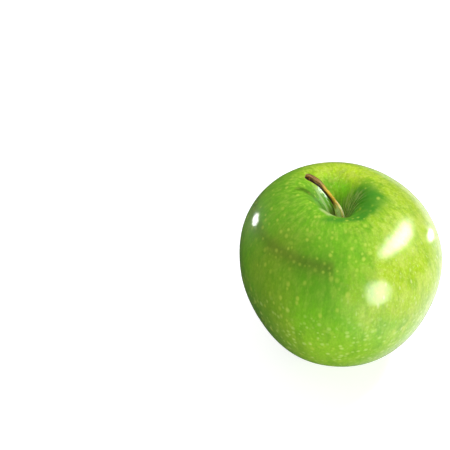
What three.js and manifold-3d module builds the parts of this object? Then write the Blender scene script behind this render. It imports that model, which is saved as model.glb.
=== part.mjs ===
// A green apple, in millimetres with +Z up and the stem on top.
// The origin is on the resting surface, under the middle of the fruit.
//
// Three pieces make it up. The fruit is flesh and skin that grew as one solid, with a funnel-shaped
// cavity on top and a shallow basin underneath. The woody stem stands in a blind socket at the floor
// of the cavity. The dried calyx, five sepals round a tuft of stamens, sits in the basin.

import * as THREE from 'three';
import { mergeVertices } from 'three/addons/utils/BufferGeometryUtils.js';
import Module from 'manifold-3d';

const wasm = await Module();
wasm.setup();

// ---------------------------------------------------------------- driving dimensions: the fruit

const CHEEK_RADIUS = 39.0; // at the widest level
const CROWN_RISE = 32.36; // from the widest level up to the crown, before the cavity is sunk
const BASE_DROP = 46.33; // from the widest level down to the base, before the basin is sunk
const CROWN_FULLNESS = 2.03; // 2 is an ellipse, and more is squarer
const BASE_FULLNESS = 1.944; // a little under an ellipse, so that the fruit tapers downwards

const OVAL_SHARE = 0.016; // seen from above, one width is longer than the other by twice this
const OVAL_AZIMUTH = 118; // degrees, where the longer width points
const SHOULDER_SHARE = 0.008; // the crown leans to -X by this share of its radius
const SHOULDER_LIFT = 1.88; // one shoulder is this much higher than the middle
const SHOULDER_AZIMUTH = 162; // degrees, where the high shoulder is

const RIBS = 5; // one broad rib for each of the five seed chambers
const RIB_AZIMUTH = 23.4; // degrees, where the first rib is
const RIB_SHARE = 0.007; // how far the ribs swell the lower half

const CAVITY_DEPTH = 14.53; // the funnel round the stem
const CAVITY_RADIUS = 9.87; // where the funnel is down to about a third of its depth
const CAVITY_FULLNESS = 1.96;
const CAVITY_SHIFT_X = -2.35; // the funnel isn't quite in the middle
const CAVITY_SHIFT_Y = -0.26;
const CAVITY_AZIMUTH = 113.3; // degrees, the way the funnel is longest
const CAVITY_SQUEEZE = 0.2; // how much narrower it is across that
const THROAT_DEPTH = 4.83; // a steeper pit close round the stem
const THROAT_RADIUS = 4.07;

const BASIN_DEPTH = 13.0; // the hollow round the calyx, measured from the uncut base
const BASIN_RADIUS = 9.5;
const BASIN_FULLNESS = 1.8;
const FOOT_RADIUS = 14.0; // the ring of five knobs that the fruit stands on
const FOOT_SWELL = 0.6;
const FOOT_WIDTH = 5.0;
const FOOT_FLAT = 0.5; // how much the knobs are flattened where they rest

// Each feature fades in between two cosines of the polar angle: 1 at the stem, -1 at the calyx.
const SHOULDER_FADE = [-0.15, 1];
const LIFT_FADE = [-0.3, 0.8];
const RIB_FADE = [-0.2, 0.95]; // counted from the calyx
const SHIFT_FADE = [0.2, 0.95];

const FRUIT_ROWS = 54;
const FRUIT_COLUMNS = 60;
const ROW_CROWDING = 0.14; // rows lie closer together in the cavity and the basin

// ---------------------------------------------------------------- driving dimensions: the stem

const GAP = 0.3; // between touching pieces
const STEM_ROOT_RADIUS = 1.65;
const STEM_NECK_RADIUS = 0.86;
const STEM_KNOB_RADIUS = 1.2;
const STEM_SOCKET_DEPTH = 4.5; // below the socket's mouth
const STEM_RIDGES = 5;
const STEM_RIDGE_SHARE = 0.05;
const STEM_TWIST = 1.4; // radians that the ridges turn from root to tip
// Shares of the stem's length over which it narrows to the neck, swells to the knob and closes.
const NECK_SPAN = [0.18, 0.55];
const KNOB_SPAN = [0.66, 0.86];
const END_SPAN = [0.955, 1];
const END_NARROWING = 0.3;
const STEM_STEPS = 34;
const STEM_SIDES = 24;
// The line of the stem: sideways, back, and height over the pole of the cavity floor.
const STEM_LINE = [
  [0.0, 0.0, -2.4],
  [0.0, 0.0, 0.6],
  [-0.7, 0.0, 3.1],
  [-2.0, 0.1, 7.3],
  [-3.8, 0.35, 10.4],
  [-6.4, 0.8, 13.8],
  [-9.3, 1.4, 17.0],
  [-12.3, 2.0, 18.8],
  [-14.5, 2.5, 19.4],
];

// ---------------------------------------------------------------- driving dimensions: the calyx

const CALYX_RADIUS = 3.3;
const CALYX_SOCKET_DEPTH = 1.6;
const CALYX_DOME_DROP = 0.9; // the dome stands this far out of the socket's mouth
const CALYX_DOME_STEPS = 4;
const CALYX_SIDES = 30;
const SEPALS = 5;
const SEPAL_HALF_WIDTH = 1.9;
const SEPAL_THICKNESS = 0.7;
const SEPAL_STEPS = 10;
const SEPAL_STRIPS = 4;
const SEPAL_CUP = 0.35; // the edges stand this share of the half width further in
const SEPAL_TAPER = 1.6; // how late along its length a sepal narrows
const SEPAL_WAIST = 0.25; // the share by which the root is narrower
const SEPAL_TIP_HALF_WIDTH = 0.12;
const SEPAL_LENGTH_CHANGE = 0.1; // the share by which one sepal is longer or shorter
// The midrib of a sepal: distance from the axis, and depth under the socket's mouth.
const SEPAL_LINE = [
  [2.5, -0.5],
  [3.0, 0.9],
  [2.3, 2.5],
  [2.5, 3.8],
  [4.2, 4.7],
];
const STAMENS = 11;
const STAMEN_RADIUS = 0.32;
const STAMEN_LENGTH = 3.4;
const STAMEN_SPREAD = 0.32; // distance of the first stamen from the axis
const STAMEN_LEAN = 0.35; // how far a tip bends sideways
const STAMEN_STEPS = 5;
const STAMEN_SIDES = 6;
const GOLDEN_ANGLE = 2.39996; // radians between one stamen and the next

// ---------------------------------------------------------------- helpers

function radians(degrees) {
  return THREE.MathUtils.degToRad(degrees);
}

// 0 before a span, 1 after it, and smooth between.
function fade(value, [from, to]) {
  return THREE.MathUtils.smoothstep(value, from, to);
}

// A closed body from rings of the same number of points, closed with a single point at each end.
// The rings run anticlockwise as seen from beyond the first one.
function ringBody(rings, firstPoint, lastPoint) {
  const sides = rings[0].length;
  const positions = [...rings.flat(), firstPoint, lastPoint].flatMap((p) => [p.x, p.y, p.z]);
  const first = rings.length * sides;
  const last = first + 1;
  const index = [];
  for (let side = 0; side < sides; side++) {
    const next = (side + 1) % sides;
    index.push(first, side, next);
    for (let ring = 0; ring + 1 < rings.length; ring++) {
      const a = ring * sides;
      const b = a + sides;
      index.push(a + side, b + side, b + next, a + side, b + next, a + next);
    }
    const end = (rings.length - 1) * sides;
    index.push(last, end + next, end + side);
  }
  const geometry = new THREE.BufferGeometry();
  geometry.setAttribute('position', new THREE.Float32BufferAttribute(positions, 3));
  geometry.setIndex(index);
  return geometry;
}

// A manifold-3d solid from a closed three.js geometry.
function toSolid(geometry) {
  const bare = geometry.clone();
  bare.deleteAttribute('normal');
  bare.deleteAttribute('uv');
  const merged = mergeVertices(bare, 1e-4);
  return new wasm.Manifold(new wasm.Mesh({
    numProp: 3,
    vertProperties: new Float32Array(merged.attributes.position.array),
    triVerts: new Uint32Array(merged.index.array),
  }));
}

function toGeometry(solid) {
  const mesh = solid.getMesh();
  const geometry = new THREE.BufferGeometry();
  geometry.setAttribute('position', new THREE.Float32BufferAttribute(mesh.vertProperties, 3));
  geometry.setIndex(Array.from(mesh.triVerts));
  return geometry;
}

function namedMesh(name, geometry, colour, roughness) {
  geometry.computeVertexNormals();
  const material = new THREE.MeshStandardMaterial({ color: colour, roughness, metalness: 0 });
  const mesh = new THREE.Mesh(geometry, material);
  mesh.name = name;
  return mesh;
}

// ---------------------------------------------------------------- the fruit's surface

// How far the surface is sunk at a point near the stem.
function cavitySink(x, y, along) {
  const shift = fade(along, SHIFT_FADE);
  const fromX = x - CAVITY_SHIFT_X * shift;
  const fromY = y - CAVITY_SHIFT_Y * shift;
  const turn = radians(CAVITY_AZIMUTH);
  const lengthways = fromX * Math.cos(turn) + fromY * Math.sin(turn);
  const crossways = fromY * Math.cos(turn) - fromX * Math.sin(turn);
  const out = Math.hypot(lengthways * (1 - CAVITY_SQUEEZE), crossways * (1 + CAVITY_SQUEEZE));
  const funnel = CAVITY_DEPTH * Math.exp(-((out / CAVITY_RADIUS) ** CAVITY_FULLNESS));
  const throat = THROAT_DEPTH * Math.exp(-((Math.hypot(x, y) / THROAT_RADIUS) ** 2));
  return funnel + throat;
}

// How far the surface is raised into the basin, less the five knobs round it.
function basinRise(out, ribWave) {
  const bowl = BASIN_DEPTH * Math.exp(-((out / BASIN_RADIUS) ** BASIN_FULLNESS));
  const knob = FOOT_SWELL * ribWave * Math.exp(-(((out - FOOT_RADIUS) / FOOT_WIDTH) ** 2));
  return bowl - knob;
}

// A point of the skin, measured from the widest level. The polar angle is 0 at the stem and pi at
// the calyx, and the azimuth runs anticlockwise from +X seen from above.
function skinPoint(polar, azimuth) {
  const across = Math.sin(polar);
  const along = Math.cos(polar);
  const upper = along > 0;
  const fullness = upper ? CROWN_FULLNESS : BASE_FULLNESS;
  const reach = upper ? CROWN_RISE : BASE_DROP;
  const bulge = (Math.abs(across / CHEEK_RADIUS) ** fullness
    + Math.abs(along / reach) ** fullness) ** (-1 / fullness);
  const ribWave = Math.cos(RIBS * (azimuth - radians(RIB_AZIMUTH)));
  const out = bulge * across * (1
    + OVAL_SHARE * Math.cos(2 * (azimuth - radians(OVAL_AZIMUTH)))
    - SHOULDER_SHARE * Math.cos(azimuth) * fade(along, SHOULDER_FADE)
    + RIB_SHARE * ribWave * fade(-along, RIB_FADE));
  const x = out * Math.cos(azimuth);
  const y = out * Math.sin(azimuth);
  const lift = SHOULDER_LIFT * fade(along, LIFT_FADE) * (out / CHEEK_RADIUS)
    * Math.cos(azimuth - radians(SHOULDER_AZIMUTH));
  const hollow = upper ? -cavitySink(x, y, along) : basinRise(out, ribWave);
  return new THREE.Vector3(x, y, bulge * along + lift + hollow);
}

// The polar angle of a row, from 0 at the first row to 1 at the last, between the two sockets.
function rowPolar(share, first, last) {
  const crowded = share - (ROW_CROWDING * Math.sin(2 * Math.PI * share)) / Math.PI;
  return first + (last - first) * crowded;
}

function skinRing(polar) {
  const ring = [];
  for (let column = 0; column < FRUIT_COLUMNS; column++) {
    ring.push(skinPoint(polar, (2 * Math.PI * column) / FRUIT_COLUMNS));
  }
  return ring;
}

const stemSocketRadius = STEM_ROOT_RADIUS * (1 + STEM_RIDGE_SHARE) + GAP;
const calyxSocketRadius = CALYX_RADIUS + GAP;
const firstPolar = Math.asin(stemSocketRadius / CROWN_RISE);
const lastPolar = Math.PI - Math.asin(calyxSocketRadius / BASE_DROP);

const skinRings = [];
for (let row = 0; row <= FRUIT_ROWS; row++) {
  skinRings.push(skinRing(rowPolar(row / FRUIT_ROWS, firstPolar, lastPolar)));
}

// The level at which the fruit stands, in the skin's own heights.
const standLevel = Math.min(...skinRings.flat().map((p) => p.z)) + FOOT_FLAT;
for (const point of skinRings.flat()) {
  point.z = Math.max(point.z - standLevel, 0);
}

function meanHeight(ring) {
  return ring.reduce((sum, p) => sum + p.z, 0) / ring.length;
}

// A ring of the same outline at one height.
function levelRing(ring, height) {
  return ring.map((p) => new THREE.Vector3(p.x, p.y, height));
}

const cavityFloor = skinPoint(0, 0).z - standLevel;
const stemMouth = meanHeight(skinRings[0]);
const calyxMouth = meanHeight(skinRings[FRUIT_ROWS]);

function fruit() {
  const stemEnd = stemMouth - STEM_SOCKET_DEPTH;
  const calyxEnd = calyxMouth + CALYX_SOCKET_DEPTH;
  const rings = [
    levelRing(skinRings[0], stemEnd),
    ...skinRings,
    levelRing(skinRings[FRUIT_ROWS], calyxEnd),
  ];
  return ringBody(rings, new THREE.Vector3(0, 0, stemEnd), new THREE.Vector3(0, 0, calyxEnd));
}

// ---------------------------------------------------------------- the stem

// Wide at the root, slim in the neck, and swollen again at the knob where it left the twig.
function stemRadius(share) {
  const shaft = THREE.MathUtils.lerp(STEM_ROOT_RADIUS, STEM_NECK_RADIUS, fade(share, NECK_SPAN));
  const knob = (STEM_KNOB_RADIUS - STEM_NECK_RADIUS) * fade(share, KNOB_SPAN);
  return (shaft + knob) * (1 - END_NARROWING * fade(share, END_SPAN));
}

// A ring of points round a curve, with lengthwise ridges that turn slowly.
function sweptRing(curve, frames, step, steps, sides, radiusAt) {
  const share = step / steps;
  const centre = curve.getPointAt(share);
  const ring = [];
  for (let side = 0; side < sides; side++) {
    const angle = (-2 * Math.PI * side) / sides;
    const radius = radiusAt(share, angle);
    ring.push(centre.clone()
      .addScaledVector(frames.normals[step], radius * Math.cos(angle))
      .addScaledVector(frames.binormals[step], radius * Math.sin(angle)));
  }
  return ring;
}

function sweptBody(curve, steps, sides, radiusAt) {
  const frames = curve.computeFrenetFrames(steps);
  const rings = [];
  for (let step = 0; step <= steps; step++) {
    rings.push(sweptRing(curve, frames, step, steps, sides, radiusAt));
  }
  return ringBody(rings, curve.getPointAt(0), curve.getPointAt(1));
}

function stem() {
  const line = STEM_LINE.map(([x, y, z]) => new THREE.Vector3(x, y, z + cavityFloor));
  const curve = new THREE.CatmullRomCurve3(line);
  return sweptBody(curve, STEM_STEPS, STEM_SIDES, (share, angle) => (
    stemRadius(share) * (1 + STEM_RIDGE_SHARE * Math.cos(STEM_RIDGES * angle + STEM_TWIST * share))
  ));
}

// ---------------------------------------------------------------- the calyx

// The dome in the socket that the sepals and the stamens grow from.
function calyxDome() {
  const top = calyxMouth + CALYX_SOCKET_DEPTH - GAP;
  const profile = [new THREE.Vector2(0, calyxMouth - CALYX_DOME_DROP)];
  for (let step = 1; step <= CALYX_DOME_STEPS; step++) {
    const angle = (Math.PI / 2) * (step / CALYX_DOME_STEPS);
    const drop = CALYX_DOME_DROP * Math.cos(angle);
    profile.push(new THREE.Vector2(CALYX_RADIUS * Math.sin(angle), calyxMouth - drop));
  }
  profile.push(new THREE.Vector2(CALYX_RADIUS, top), new THREE.Vector2(0, top));
  return new THREE.LatheGeometry(profile, CALYX_SIDES).rotateX(Math.PI / 2);
}

// How wide a sepal is along its length: full near the root and drawn out to a point.
function sepalHalfWidth(share) {
  const taper = (1 - share ** SEPAL_TAPER) * (1 - SEPAL_WAIST * (1 - share) ** 2);
  return SEPAL_HALF_WIDTH * taper + SEPAL_TIP_HALF_WIDTH;
}

// A section of a sepal, once round its two faces, in a plane across its midrib.
function sepalRing(curve, share) {
  const midrib = curve.getPointAt(share);
  const along = curve.getTangentAt(share);
  const outward = new THREE.Vector3(-along.z, 0, along.x);
  const halfWidth = sepalHalfWidth(share);
  const ring = [];
  for (const face of [1, -1]) {
    for (let strip = 0; strip <= SEPAL_STRIPS; strip++) {
      const sideways = face * (1 - (2 * strip) / SEPAL_STRIPS);
      const inset = (face * SEPAL_THICKNESS) / 2 + SEPAL_CUP * sideways ** 2 * halfWidth;
      ring.push(midrib.clone()
        .addScaledVector(outward, -inset)
        .add(new THREE.Vector3(0, sideways * halfWidth, 0)));
    }
  }
  return ring;
}

// One of the five dried sepals, each a little longer or shorter than the next.
function sepal(number) {
  const length = 1 + SEPAL_LENGTH_CHANGE * Math.sin(GOLDEN_ANGLE * number);
  const line = SEPAL_LINE.map(([out, depth]) => (
    new THREE.Vector3(out, 0, calyxMouth - depth * length)
  ));
  const curve = new THREE.CatmullRomCurve3(line);
  const rings = [];
  for (let step = 0; step <= SEPAL_STEPS; step++) {
    rings.push(sepalRing(curve, step / SEPAL_STEPS));
  }
  const blade = ringBody(rings, curve.getPointAt(0), curve.getPointAt(1));
  return blade.rotateZ((2 * Math.PI * number) / SEPALS + radians(RIB_AZIMUTH));
}

// A dried stamen: a short bent thread.
function stamen(number) {
  const out = STAMEN_SPREAD * Math.sqrt(number);
  const root = new THREE.Vector3(out, 0, calyxMouth);
  const middle = new THREE.Vector3(out, 0, calyxMouth - STAMEN_LENGTH / 2);
  const tip = new THREE.Vector3(out / 2, STAMEN_LEAN, calyxMouth - STAMEN_LENGTH);
  const curve = new THREE.CatmullRomCurve3([root, middle, tip]);
  const thread = sweptBody(curve, STAMEN_STEPS, STAMEN_SIDES, () => STAMEN_RADIUS);
  return thread.rotateZ(GOLDEN_ANGLE * number);
}

function calyx() {
  let solid = toSolid(calyxDome());
  for (let number = 0; number < SEPALS; number++) {
    solid = solid.add(toSolid(sepal(number)));
  }
  for (let number = 0; number < STAMENS; number++) {
    solid = solid.add(toSolid(stamen(number)));
  }
  return toGeometry(solid);
}

// ---------------------------------------------------------------- the apple

const apple = new THREE.Group();
apple.add(namedMesh('fruit', fruit(), 0x7fbf2a, 0.3));
apple.add(namedMesh('stem', stem(), 0x8a6a2c, 0.7));
apple.add(namedMesh('calyx', calyx(), 0x5c4a33, 0.9));

export default apple;
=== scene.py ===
# %% [markdown]
# # A green apple
#
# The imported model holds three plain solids: the fruit, its stem and its dried calyx. They are right
# in size and place, but they have few faces and one colour each. This script loads them as a fixed
# frame and builds a finely shaped piece over each one, with a finish made of shader nodes. The apple
# stands on the floor at height zero with its stem on top. Sizes are worked out in millimetres, and the
# finished points are turned into Blender's metres.

# %% Load the frame
import math

import bpy
import numpy as np
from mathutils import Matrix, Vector


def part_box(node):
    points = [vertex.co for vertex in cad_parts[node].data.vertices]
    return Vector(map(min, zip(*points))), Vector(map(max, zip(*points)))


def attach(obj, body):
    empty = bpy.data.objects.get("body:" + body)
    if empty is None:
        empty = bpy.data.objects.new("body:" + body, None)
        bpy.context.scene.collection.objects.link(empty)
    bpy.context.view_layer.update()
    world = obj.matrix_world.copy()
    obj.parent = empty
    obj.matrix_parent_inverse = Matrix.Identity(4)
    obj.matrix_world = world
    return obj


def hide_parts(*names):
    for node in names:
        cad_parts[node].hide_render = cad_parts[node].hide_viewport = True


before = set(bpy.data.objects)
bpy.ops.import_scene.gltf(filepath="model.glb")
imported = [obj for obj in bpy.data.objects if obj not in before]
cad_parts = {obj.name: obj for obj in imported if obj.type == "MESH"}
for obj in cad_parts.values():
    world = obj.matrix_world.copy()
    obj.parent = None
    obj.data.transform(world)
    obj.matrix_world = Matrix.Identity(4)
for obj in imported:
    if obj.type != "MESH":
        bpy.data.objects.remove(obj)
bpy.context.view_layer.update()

MM = 0.001
FULL_TURN = 2 * math.pi
print("nodes:", ", ".join(sorted(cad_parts)))

# %% [markdown]
# ## From rings of points to a closed mesh
#
# Every piece here is grown: it is round, and it changes slowly from one end to the other. So one
# helper is enough for all of them. It takes rings of points, one after another, joins each to the next
# with quads, and closes both ends with a fan round a single point. Blender's Screw or Skin modifiers
# could make such shapes too, but points that come from a formula can carry extra numbers, such as how
# far along the skin they lie, and a material can read those later.

# %% The ring helper
def ring_piece(name, rings, tips, numbers):
    """A smooth closed mesh object from rings of points and the two points that close its ends.

    rings is an array in millimetres, rows by points by xyz. numbers gives, for each name, an array
    with one value or one vector for each point of the rings, which the mesh then carries.
    """
    rows, sides = rings.shape[:2]
    points = np.concatenate([rings.reshape(-1, 3), tips]) * MM
    side = np.arange(sides)
    after = (side + 1) % sides
    start = (np.arange(rows - 1) * sides)[:, None]
    quads = np.stack([start + side, start + sides + side, start + sides + after, start + after], -1)
    faces = quads.reshape(-1, 4).tolist()
    first_tip, last_tip = rows * sides, rows * sides + 1
    last_ring = first_tip - sides
    for a, b in zip(side.tolist(), after.tolist()):
        faces.append([first_tip, a, b])
    for a, b in zip(side.tolist(), after.tolist()):
        faces.append([last_tip, last_ring + b, last_ring + a])
    mesh = bpy.data.meshes.new(name)
    mesh.from_pydata(points.tolist(), [], faces)
    mesh.polygons.foreach_set("use_smooth", np.ones(len(faces), bool))
    for label, values in numbers.items():
        is_vector = values.ndim == 3
        flat = values.reshape(rows * sides, -1)
        ends = [flat[:sides].mean(0), flat[-sides:].mean(0)]
        layer = mesh.attributes.new(label, "FLOAT_VECTOR" if is_vector else "FLOAT", "POINT")
        filled = np.concatenate([flat, ends]).astype(np.float32).ravel()
        layer.data.foreach_set("vector" if is_vector else "value", filled)
    piece = bpy.data.objects.new(name, mesh)
    bpy.context.scene.collection.objects.link(piece)
    print(f"{name}: {len(points)} points, {2 * rows * sides} triangles")
    return piece


# %% Soft steps
def fade(value, start, end):
    """0 before start, 1 after end, and smooth between."""
    share = np.clip((value - start) / (end - start), 0, 1)
    return share * share * (3 - 2 * share)


def between(value, rise, fall):
    """1 in the middle, with a smooth rise and a smooth fall, each given by where it starts and ends."""
    return fade(value, *rise) * (1 - fade(value, *fall))


print("fade at a quarter of the way:", fade(0.25, 0, 1))

# %% [markdown]
# ## The form of the fruit
#
# An apple is nearly a ball, but not quite. Its upper half is low and broad, its lower half is taller
# and narrows to the base, a funnel is sunk round the stem and a bowl round the calyx. It stands on
# five small knobs, one for each seed chamber. Sculpting could give that, but it would never fit the
# frame exactly. The frame's fruit follows a short formula, so the fine skin follows the same one,
# with the same dimensions, and simply has many more points.

# %% Dimensions of the fruit, in millimetres
CHEEK_RADIUS = 39.0
CROWN_RISE = 32.36
BASE_DROP = 46.33
CROWN_FULLNESS = 2.03
BASE_FULLNESS = 1.944
OVAL_SHARE, OVAL_AZIMUTH = 0.016, math.radians(118)
SHOULDER_SHARE, SHOULDER_LIFT, SHOULDER_AZIMUTH = 0.008, 1.88, math.radians(162)
RIBS, RIB_AZIMUTH, RIB_SHARE = 5, math.radians(23.4), 0.007
CAVITY_DEPTH, CAVITY_RADIUS, CAVITY_FULLNESS = 14.53, 9.87, 1.96
CAVITY_SHIFT_X, CAVITY_SHIFT_Y = -2.35, -0.26
CAVITY_AZIMUTH, CAVITY_SQUEEZE = math.radians(113.3), 0.2
THROAT_DEPTH, THROAT_RADIUS = 4.83, 4.07
BASIN_DEPTH, BASIN_RADIUS, BASIN_FULLNESS = 13.0, 9.5, 1.8
FOOT_RADIUS, FOOT_SWELL, FOOT_WIDTH = 14.0, 0.6, 5.0
# Each feature fades in between two cosines of the angle from the stem, and the ribs' from the calyx.
SHOULDER_FADE = (-0.15, 1)
LIFT_FADE = (-0.3, 0.8)
RIB_FADE = (-0.2, 0.95)
SHIFT_FADE = (0.2, 0.95)
print(f"fruit: {2 * CHEEK_RADIUS:.0f} mm wide, cavity {CAVITY_DEPTH + THROAT_DEPTH:.0f} mm deep")


# %% The surface formula
def skin_points(polar, azimuth):
    """Points of the skin, measured from the widest level. Polar is 0 at the stem, pi at the calyx."""
    across, along = np.sin(polar), np.cos(polar)
    upper = along > 0
    fullness = np.where(upper, CROWN_FULLNESS, BASE_FULLNESS)
    reach = np.where(upper, CROWN_RISE, BASE_DROP)
    oval = np.abs(across / CHEEK_RADIUS) ** fullness + np.abs(along / reach) ** fullness
    bulge = oval ** (-1 / fullness)
    rib_wave = np.cos(RIBS * (azimuth - RIB_AZIMUTH))
    out = bulge * across * (
        1
        + OVAL_SHARE * np.cos(2 * (azimuth - OVAL_AZIMUTH))
        - SHOULDER_SHARE * np.cos(azimuth) * fade(along, *SHOULDER_FADE)
        + RIB_SHARE * rib_wave * fade(-along, *RIB_FADE)
    )
    x, y = out * np.cos(azimuth), out * np.sin(azimuth)
    slope = out / CHEEK_RADIUS * np.cos(azimuth - SHOULDER_AZIMUTH)
    lift = SHOULDER_LIFT * fade(along, *LIFT_FADE) * slope
    shift = fade(along, *SHIFT_FADE)
    off_x, off_y = x - CAVITY_SHIFT_X * shift, y - CAVITY_SHIFT_Y * shift
    lengthways = off_x * math.cos(CAVITY_AZIMUTH) + off_y * math.sin(CAVITY_AZIMUTH)
    crossways = off_y * math.cos(CAVITY_AZIMUTH) - off_x * math.sin(CAVITY_AZIMUTH)
    from_stem = np.hypot(lengthways * (1 - CAVITY_SQUEEZE), crossways * (1 + CAVITY_SQUEEZE))
    funnel = CAVITY_DEPTH * np.exp(-((from_stem / CAVITY_RADIUS) ** CAVITY_FULLNESS))
    throat = THROAT_DEPTH * np.exp(-((out / THROAT_RADIUS) ** 2))
    bowl = BASIN_DEPTH * np.exp(-((out / BASIN_RADIUS) ** BASIN_FULLNESS))
    knob = FOOT_SWELL * rib_wave * np.exp(-(((out - FOOT_RADIUS) / FOOT_WIDTH) ** 2))
    hollow = np.where(upper, -(funnel + throat), bowl - knob)
    return np.stack([x, y, bulge * along + lift + hollow], -1)


print(f"cavity floor: {skin_points(np.array(0.0), np.array(0.0))[2]:.1f} mm over the widest level")

# %% [markdown]
# ## The grid of the skin
#
# The formula wants two angles: one from the stem down to the calyx, and one round the fruit. An even
# grid would spend most of its rows on the plain cheeks. So the rows are crowded at both ends, where
# the skin turns sharply into the cavity and the basin. A small hole is left open at each pole for the
# end point that closes the mesh.

# %% Rows and columns
ROWS, COLUMNS = 268, 320
ROW_CROWDING = 0.16
STEM_HOLE, CALYX_HOLE = 1.35, 2.6

polar_first = math.asin(STEM_HOLE / CROWN_RISE)
polar_last = math.pi - math.asin(CALYX_HOLE / BASE_DROP)
row_share = np.linspace(0, 1, ROWS + 1)
row_share -= ROW_CROWDING * np.sin(FULL_TURN * row_share) / math.pi
polar, azimuth = np.meshgrid(
    polar_first + (polar_last - polar_first) * row_share,
    np.arange(COLUMNS) * FULL_TURN / COLUMNS,
    indexing="ij",
)
skin = skin_points(polar, azimuth)
stand_level = skin[..., 2].max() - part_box("fruit")[1].z / MM
skin[..., 2] -= stand_level
out = np.hypot(skin[..., 0], skin[..., 1])
upper = np.cos(polar) > 0
print(f"widest level: {-stand_level:.1f} mm over the floor")

# %% [markdown]
# ## Small unevenness
#
# A formula alone looks like wax fruit: a reflection slides over it without a break. Real skin has
# broad shallow lumps, fine furrows that run down into the stem cavity, and puckers round the calyx
# where the fruit swelled round its dead flower. Displacement in the shader could do it, but it would
# be lost with the shader, so the points themselves move, by less than half a millimetre.

# %% Waves for lumps and folds
SEED = 20

draw = np.random.default_rng(SEED)


def waves(points, count, shortest, longest, height):
    """A sum of plane waves in random directions, as lumps with about this height."""
    total = np.zeros(points.shape[:-1])
    for _ in range(count):
        direction = draw.normal(size=3)
        direction /= np.linalg.norm(direction)
        length = draw.uniform(shortest, longest)
        total += np.sin(points @ direction * FULL_TURN / length + draw.uniform(0, FULL_TURN))
    return height * total / math.sqrt(count)


def folds(azimuth, counts, height):
    """A sum of waves round the axis, with so many crests each."""
    total = np.zeros(azimuth.shape)
    for count in counts:
        total += draw.uniform(0.5, 1) * np.cos(count * azimuth + draw.uniform(0, FULL_TURN))
    return height * total


print("lumps and folds are drawn from seed", SEED)

# %% Lumps, furrows and puckers
BROAD_LUMPS = {"count": 12, "shortest": 15, "longest": 34, "height": 0.07}
FINE_LUMPS = {"count": 16, "shortest": 6, "longest": 11, "height": 0.012}
FURROW_CRESTS, FURROW_HEIGHT = (13, 19, 31), 0.07
FURROW_RISE, FURROW_FALL = (2, 4), (6, 13)
PUCKER_CRESTS, PUCKER_HEIGHT = (7, 10, 17), 0.2
PUCKER_RISE, PUCKER_FALL = (2.6, 4), (4, 12)
CALM_NEAR_FLOOR = 4

relief = waves(skin, **BROAD_LUMPS) + waves(skin, **FINE_LUMPS)
furrows = folds(azimuth, FURROW_CRESTS, FURROW_HEIGHT)
relief += furrows * upper * between(out, FURROW_RISE, FURROW_FALL)
puckers = folds(azimuth, PUCKER_CRESTS, PUCKER_HEIGHT)
relief += puckers * ~upper * between(out, PUCKER_RISE, PUCKER_FALL)
relief *= fade(skin[..., 2], 0, CALM_NEAR_FLOOR)

around = np.roll(skin, -1, axis=1) - np.roll(skin, 1, axis=1)
normal = np.cross(np.gradient(skin, axis=0), around)
normal /= np.linalg.norm(normal, axis=-1, keepdims=True)
skin += normal * relief[..., None]
skin[..., 2] = np.maximum(skin[..., 2], 0)
print(f"relief runs from {relief.min():.2f} to {relief.max():.2f} mm")

# %% [markdown]
# ## The skin as a piece
#
# The relief makes the skin a hair larger than the frame's fruit, so its points are scaled back into
# the frame's own box. The mesh also carries three things for its finish: how far each point lies from
# the axis, how far down it is, and a place on the skin laid out as a cylinder, which follows the
# furrows from stem to calyx as the fruit's own fibres do.

# %% Build the skin inside the frame's own box
WRAP_RADIUS = 26.0
STEM_HOLE_DEPTH, CALYX_HOLE_DEPTH = 2, 1


def fit_box(points, node):
    """Scales points, in millimetres, by a hair so that they fill the same box as a node of the frame."""
    low, high = (np.array(corner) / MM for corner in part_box(node))
    size = points.max((0, 1)) - points.min((0, 1))
    return low + (points - points.min((0, 1))) / size * (high - low)


skin = fit_box(skin, "fruit")
step = np.linalg.norm(np.diff(skin, axis=0, prepend=skin[:1]), axis=-1)
run = np.cumsum(step, axis=0)
wrap = np.stack([WRAP_RADIUS * np.cos(azimuth), WRAP_RADIUS * np.sin(azimuth), run], -1)
stem_floor = [0, 0, skin[0, :, 2].mean() - STEM_HOLE_DEPTH]
calyx_roof = [0, 0, skin[-1, :, 2].mean() + CALYX_HOLE_DEPTH]
skin_numbers = {"wrap": wrap, "down": polar / math.pi, "out": out}
apple = ring_piece("apple_skin", skin, [stem_floor, calyx_roof], skin_numbers)
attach(apple, "root")
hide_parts("fruit")
print(f"skin from stem to calyx: {run[-1].mean():.0f} mm")

# %% [markdown]
# ## Working with shader nodes
#
# A finish is a graph of nodes. Adding each one in the node editor is the usual way, but a graph of a
# hundred nodes is hard to read there and can't be repeated. The two classes below give each step one
# short word. The first adds nodes and does arithmetic with them. The second turns a range of values
# into a soft mask, blends colours, and makes noise. Colours are given as the 0 to 255 values that a
# paint picker shows, and are turned into the linear light that Blender works in.

# %% Paint
def paint(red, green, blue):
    """A colour picker's red, green and blue as linear light, by the sRGB curve."""
    shares = [value / 255 for value in (red, green, blue)]
    linear = [share / 12.92 if share <= 0.04045 else ((share + 0.055) / 1.055) ** 2.4 for share in shares]
    return (*linear, 1)


print("leaf green in linear light:", [round(part, 3) for part in paint(122, 194, 32)])


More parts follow.
